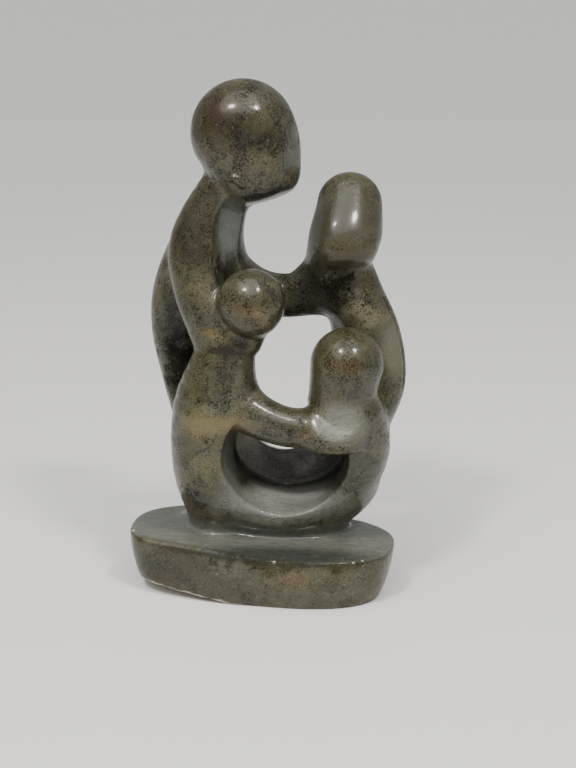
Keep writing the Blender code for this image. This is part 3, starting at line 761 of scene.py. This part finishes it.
def makePolishedSoapstone():
    material = bpy.data.materials.new("polishedSoapstone")
    material.use_nodes = True
    tree = material.node_tree
    shader = tree.nodes["Principled BSDF"]
    shader.inputs["IOR"].default_value = stoneLook["index"]
    shader.inputs["Coat Roughness"].default_value = stoneLook["waxRoughness"]
    colour = {name: toLinear(value) for name, value in stoneLook.items() if str(value).startswith("#")}

    place = addNode(tree, "ShaderNodeTexCoord", (), "Object")
    point = addNode(tree, "ShaderNodeMapping", {"Vector": place, "Scale": (perMetre, perMetre, perMetre)})

    # Slow swirls and small curls bend every pattern, so that no cloud or vein has a ruled edge.
    bends = []
    for name in ("swirl", "curl"):
        bend = addNode(tree, "ShaderNodeTexNoise", {"Vector": point} | stonePatterns[name], "Color")
        bend = addNode(tree, "ShaderNodeVectorMath", (bend, (0.5, 0.5, 0.5)), operation="SUBTRACT")
        reach = {0: bend, "Scale": stoneLook[name + "Reach"]}
        bends.append(addNode(tree, "ShaderNodeVectorMath", reach, operation="SCALE"))
    swirl, curl = bends
    bent = addNode(tree, "ShaderNodeVectorMath", (point, swirl), operation="ADD")
    bent = addNode(tree, "ShaderNodeVectorMath", (bent, curl), operation="ADD")
    reach = {0: curl, "Scale": stoneLook["driftShare"]}
    drift = addNode(tree, "ShaderNodeVectorMath", reach, operation="SCALE")
    drift = addNode(tree, "ShaderNodeVectorMath", (point, drift), operation="ADD")

    # The body: grey-green, going to olive and to a paler grey over 3 to 5 cm, with patches of brown and of
    # slate grey, 4 to 10 mm wide, that run into it without an edge.
    wide = addNode(tree, "ShaderNodeTexNoise", {"Vector": bent} | stonePatterns["wide"], "Fac")
    milk = addNode(tree, "ShaderNodeTexNoise", {"Vector": bent} | stonePatterns["milk"], "Fac", **fourth)
    patch = addNode(tree, "ShaderNodeTexNoise", {"Vector": bent} | stonePatterns["patch"], "Fac", **fourth)
    stone = colour["body"]
    layers = [(wide, "wide", "olive"), (milk, "milk", "pale")]
    layers += [(patch, "brownPatch", "umber"), (patch, "greyPatch", "slate")]
    for pattern, span, tint in layers:
        share = addNode(tree, "ShaderNodeMapRange", (pattern, *stoneSpans[span]), **smoothStep)
        stone = addNode(tree, "ShaderNodeMix", {0: share, 6: stone, 7: colour[tint]}, 2, **mixColours)

    # The clouds, with painted shade and painted light among them.
    cloudTree = makeCloudTree()
    for centre, radii, tint, strength in cloudsWithPaintedLightAndShade:
        where = bent if min(radii) > stoneLook["smallMark"] else point
        share = addNode(tree, "ShaderNodeGroup", (where, centre, radii), node_tree=cloudTree)
        share = addNode(tree, "ShaderNodeMath", (share, strength), operation="MULTIPLY")
        stone = addNode(tree, "ShaderNodeMix", {0: share, 6: stone, 7: toLinear(tint)}, 2, **mixColours)

    # How smooth the stone is rubbed: most of all on the top of the base and the fillet that rises from it,
    # whose grey-blue tint is partly painted reflection.
    inputs = (point, baseTop["slope"])
    level = addNode(tree, "ShaderNodeVectorMath", inputs, "Value", operation="DOT_PRODUCT")
    above = addNode(tree, "ShaderNodeMapRange", (level, baseTop["low"], baseTop["rim"], 0.0, 1.0))
    below = addNode(tree, "ShaderNodeMapRange", (level, baseTop["foot"], baseTop["clear"], 1.0, 0.0))
    calm = addNode(tree, "ShaderNodeMath", (above, below), operation="MULTIPLY")
    paintedLightAndCalmTints = [(calm, baseTop["tint"])]
    marks = calm
    for centre, radii, tint, clearness in calmPlacesAndPaintedLight:
        share = addNode(tree, "ShaderNodeGroup", (drift, centre, radii), node_tree=cloudTree)
        paintedLightAndCalmTints.append((share, tint))
        calm = addNode(tree, "ShaderNodeMath", (calm, share), operation="MAXIMUM")
        share = addNode(tree, "ShaderNodeMath", (share, clearness), operation="MULTIPLY")
        marks = addNode(tree, "ShaderNodeMath", (marks, share), operation="MAXIMUM")
    free = addNode(tree, "ShaderNodeMath", (calm, -stoneLook["calmLoss"], 1.0), operation="MULTIPLY_ADD")

    # Mottling from 3 to 8 mm wide, darker and paler, and over it the colours of the smooth places and of the
    # painted light.
    mottle = addNode(tree, "ShaderNodeTexNoise", {"Vector": bent} | stonePatterns["mottle"], "Fac")
    for tint in ("deep", "pale"):
        share = addNode(tree, "ShaderNodeMapRange", (mottle, *stoneSpans[tint + "Mottle"]), **smoothStep)
        stone = addNode(tree, "ShaderNodeMix", {0: share, 6: stone, 7: colour[tint]}, 2, **mixColours)
    for share, tint in paintedLightAndCalmTints:
        share = addNode(tree, "ShaderNodeMath", (share, stoneLook["calmAndPaintedLightShare"]), operation="MULTIPLY")
        stone = addNode(tree, "ShaderNodeMix", {0: share, 6: stone, 7: toLinear(tint)}, 2, **mixColours)

    # Marks of the last sanding, fine lines about a finger's width long, that show where the stone is smooth.
    brushed = addNode(tree, "ShaderNodeMapping", {"Vector": drift} | stoneRuns["brushed"])
    brushed = addNode(tree, "ShaderNodeTexNoise", {"Vector": brushed} | stonePatterns["brushed"], "Fac")
    streak = addNode(tree, "ShaderNodeMapRange", (brushed, *stoneSpans["streak"]))
    streak = addNode(tree, "ShaderNodeMath", (streak, marks, 1.0), operation="MULTIPLY_ADD")
    stone = addNode(tree, "ShaderNodeVectorMath", {0: stone, "Scale": streak}, operation="SCALE")

    # Dark grains, thick in some places and rare in others. A grain shows where its noise is over the limit,
    # which is higher where the stone is rubbed smooth and lower on the father's head.
    grain = addNode(tree, "ShaderNodeTexNoise", {"Vector": drift} | stonePatterns["grain"], "Fac")
    limit = addNode(tree, "ShaderNodeTexNoise", {"Vector": bent} | stonePatterns["crowd"], "Fac", **fourth)
    limit = addNode(tree, "ShaderNodeMapRange", (limit, *stoneSpans["crowd"]), **smoothStep)
    limit = addNode(tree, "ShaderNodeMath", (calm, stoneLook["calmGrains"], limit), operation="MULTIPLY_ADD")
    onHead = addNode(tree, "ShaderNodeGroup", (drift, *grainyHead), node_tree=cloudTree)
    inputs = (onHead, -stoneLook["headGrains"], limit)
    limit = addNode(tree, "ShaderNodeMath", inputs, operation="MULTIPLY_ADD")
    excess = addNode(tree, "ShaderNodeMath", (grain, limit), operation="SUBTRACT")
    grains = addNode(tree, "ShaderNodeMapRange", (excess, *stoneSpans["grain"]), **smoothStep)

    # Fewer of them lie on the side of the base and inside the hollow.
    inputs = (level, baseTop["low"], baseTop["foot"], baseTop["sideGrains"], 1.0)
    onSide = addNode(tree, "ShaderNodeMapRange", inputs)
    grains = addNode(tree, "ShaderNodeMath", (grains, onSide), operation="MULTIPLY")
    inside = addNode(tree, "ShaderNodeGroup", (drift, *hollowInside), node_tree=cloudTree)
    inputs = (inside, -stoneLook["hollowLoss"], 1.0)
    inside = addNode(tree, "ShaderNodeMath", inputs, operation="MULTIPLY_ADD")
    grains = addNode(tree, "ShaderNodeMath", (grains, inside), operation="MULTIPLY")
    stone = addNode(tree, "ShaderNodeMix", {0: grains, 6: stone, 7: colour["grain"]}, 2, **mixColours)

    # Short smears of brown and black, drawn out along the bedding.
    smear = addNode(tree, "ShaderNodeMapping", {"Vector": bent} | stoneRuns["smear"])
    smear = addNode(tree, "ShaderNodeTexNoise", {"Vector": smear} | stonePatterns["smear"], "Fac")
    smear = addNode(tree, "ShaderNodeMapRange", (smear, *stoneSpans["smear"]), **smoothStep)
    smear = addNode(tree, "ShaderNodeMath", (smear, free), operation="MULTIPLY")
    stone = addNode(tree, "ShaderNodeMix", {0: smear, 6: stone, 7: colour["smear"]}, 2, **mixColours)

    # Speckle of half a millimetre, lighter and darker, weaker where the stone is rubbed smooth.
    speckle = addNode(tree, "ShaderNodeTexNoise", {"Vector": drift} | stonePatterns["speckle"], "Fac")
    speckle = addNode(tree, "ShaderNodeMapRange", (speckle, *stoneSpans["speckle"]))
    speckle = addNode(tree, "ShaderNodeMath", (speckle, free, 1.0), operation="MULTIPLY_ADD")
    stone = addNode(tree, "ShaderNodeVectorMath", {0: stone, "Scale": speckle}, operation="SCALE")

    # A few pale flecks of talc: a cell whose random colour is red enough has one in its middle.
    cells = {"Vector": drift} | stonePatterns["talc"]
    fleck = addNode(tree, "ShaderNodeTexVoronoi", cells, "Distance")
    chance = addNode(tree, "ShaderNodeTexVoronoi", cells, "Color")
    chance = addNode(tree, "ShaderNodeSeparateColor", (chance,), "Red")
    size = addNode(tree, "ShaderNodeMapRange", (chance, *stoneSpans["talc"]))
    fleck = addNode(tree, "ShaderNodeMath", (fleck, size), operation="LESS_THAN")
    fleck = addNode(tree, "ShaderNodeMath", (fleck, stoneLook["talcStrength"]), operation="MULTIPLY")
    stone = addNode(tree, "ShaderNodeMix", {0: fleck, 6: stone, 7: colour["talc"]}, 2, **mixColours)

    # The wax deepens every colour.
    inputs = {0: 1.0, 6: stone, 7: colour["waxed"]}
    stone = addNode(tree, "ShaderNodeMix", inputs, 2, blend_type="MULTIPLY", **mixColours)

    # The pits are painted near black, as painted shade inside them. Chips and the broken corner show raw
    # stone, paler and dull.
    raw = None
    for centre, radius in base["chips"]:
        inputs = (point, centre, (radius, radius, radius))
        share = addNode(tree, "ShaderNodeGroup", inputs, node_tree=cloudTree)
        raw = addNode(tree, "ShaderNodeMath", (raw, share), operation="MAXIMUM") if raw else share
    cornerPlace, cornerFacing = base["brokenCorner"][:2]
    cornerPlace = Vector(cornerPlace)
    cornerPlace += perMetre * Vector((0.0, carving["Stand back"], carving["Base thickness"]))
    offset = addNode(tree, "ShaderNodeVectorMath", (point, cornerPlace), operation="SUBTRACT")
    inputs = (offset, Vector(cornerFacing).normalized())
    torn = addNode(tree, "ShaderNodeVectorMath", inputs, "Value", operation="DOT_PRODUCT")
    ragged = addNode(tree, "ShaderNodeTexNoise", {"Vector": point} | stonePatterns["ragged"], "Fac")
    torn = addNode(tree, "ShaderNodeMath", (ragged, stoneLook["tornWander"], torn), operation="MULTIPLY_ADD")
    torn = addNode(tree, "ShaderNodeMapRange", (torn, *stoneSpans["torn"]))
    raw = addNode(tree, "ShaderNodeMath", (raw, torn), operation="MAXIMUM")
    for centre, radius in pits:
        inputs = (point, centre, (radius, radius, radius))
        share = addNode(tree, "ShaderNodeGroup", inputs, node_tree=cloudTree)
        stone = addNode(tree, "ShaderNodeMix", {0: share, 6: stone, 7: colour["pitShade"]}, 2, **mixColours)
    stone = addNode(tree, "ShaderNodeMix", {0: raw, 6: stone, 7: colour["rawStone"]}, 2, **mixColours)
    tree.links.new(stone, shader.inputs["Base Color"])

    # Polish: the wax lies unevenly, and the grains are a little duller.
    dull = None
    for centre, radii in dullPlaces:
        share = addNode(tree, "ShaderNodeGroup", (bent, centre, radii), node_tree=cloudTree)
        dull = addNode(tree, "ShaderNodeMath", (dull, share), operation="MAXIMUM") if dull else share
    rough = addNode(tree, "ShaderNodeTexNoise", {"Vector": point} | stonePatterns["haze"], "Fac")
    rough = addNode(tree, "ShaderNodeMapRange", (rough, *stoneSpans["haze"]))
    for share, name in ((grains, "grain"), (raw, "raw"), (dull, "dull")):
        inputs = (share, stonePolish[name + "Roughness"], rough)
        rough = addNode(tree, "ShaderNodeMath", inputs, operation="MULTIPLY_ADD")
    tree.links.new(rough, shader.inputs["Roughness"])
    for socket, full in (("Specular IOR Level", stonePolish["sheen"]), ("Coat Weight", stonePolish["wax"])):
        left = full
        for share, name in ((dull, "dullLoss"), (grains, "grainLoss")):
            inputs = (share, -stonePolish[name] * full, left)
            left = addNode(tree, "ShaderNodeMath", inputs, operation="MULTIPLY_ADD")
        left = addNode(tree, "ShaderNodeMath", (left, 0.0), operation="MAXIMUM")
        tree.links.new(left, shader.inputs[socket])

    # Relief too fine for the skin: grains that lie a little deeper, and sanding marks.
    sunk = addNode(tree, "ShaderNodeMath", (grains, -stonePolish["grainDepth"]), operation="MULTIPLY")
    inputs = (brushed, stonePolish["brushedDepth"], sunk)
    height = addNode(tree, "ShaderNodeMath", inputs, operation="MULTIPLY_ADD")
    bump = addNode(tree, "ShaderNodeBump", {"Height": height} | stonePolish["bump"], "Normal")
    tree.links.new(bump, shader.inputs["Normal"])
    return material


polishedSoapstone = makePolishedSoapstone()
print("soapstone mixed")
familyGroup = carveStone(polishedSoapstone)
print("stone carved:", len(familyGroup.data.polygons), "faces")
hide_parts("family_group")
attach(familyGroup, "root")


# Studio: a pale table, a wide soft ceiling and two small lamps whose glints show on every head.
studio = {
    "table": "#dadad9",
    "tableReach": 60.0,  # metres from the middle to each side, past all that the camera sees
    "tableRoughness": 0.6,
    "room": "#d6d6d5",
    "roomStrength": 0.58,
    "ceiling": {"from": (-0.1, -0.38, 0.85), "spread": 70.0, "strength": 2.45, "tint": "#fcfbf8"},
    "lampAim": (0.0, 0.0, 0.12),
    "lamps": [
        {"place": (-0.34, -0.54, 0.98), "size": 0.14, "watts": 7.5, "tint": "#fffaf2"},
        {"place": (0.40, -0.50, 0.98), "size": 0.14, "watts": 7.5, "tint": "#fffaf2"},
    ],
}


def addLamp(name, lamp):
    data = bpy.data.lights.new(name, "AREA")
    data.size = lamp["size"]
    data.energy = lamp["watts"]
    data.color = toLinear(lamp["tint"])[:3]
    light = bpy.data.objects.new(name, data)
    bpy.context.scene.collection.objects.link(light)
    light.location = lamp["place"]
    towards = Vector(studio["lampAim"]) - light.location
    light.rotation_euler = towards.to_track_quat("-Z", "Y").to_euler()


def lightStudio():
    world = bpy.data.worlds.new("room")
    world.use_nodes = True
    background = world.node_tree.nodes["Background"]
    background.inputs["Color"].default_value = toLinear(studio["room"])
    background.inputs["Strength"].default_value = studio["roomStrength"]
    bpy.context.scene.world = world
    ceiling = bpy.data.lights.new("softCeiling", "SUN")
    ceiling.energy = studio["ceiling"]["strength"]
    ceiling.angle = math.radians(studio["ceiling"]["spread"])
    ceiling.color = toLinear(studio["ceiling"]["tint"])[:3]
    light = bpy.data.objects.new("softCeiling", ceiling)
    bpy.context.scene.collection.objects.link(light)
    light.rotation_euler = Vector(studio["ceiling"]["from"]).to_track_quat("Z", "Y").to_euler()
    for number, lamp in enumerate(studio["lamps"]):
        addLamp(f"smallLamp{number + 1}", lamp)


def layTable():
    reach = studio["tableReach"]
    mesh = bpy.data.meshes.new("paleTable")
    corners = [(-reach, -reach, 0), (reach, -reach, 0), (reach, reach, 0), (-reach, reach, 0)]
    mesh.from_pydata(corners, [], [(0, 1, 2, 3)])
    table = bpy.data.objects.new("paleTable", mesh)
    bpy.context.scene.collection.objects.link(table)
    laminate = bpy.data.materials.new("paleLaminate")
    laminate.use_nodes = True
    shader = laminate.node_tree.nodes["Principled BSDF"]
    shader.inputs["Base Color"].default_value = toLinear(studio["table"])
    shader.inputs["Roughness"].default_value = studio["tableRoughness"]
    mesh.materials.append(laminate)


lightStudio()
layTable()
print("studio lit")
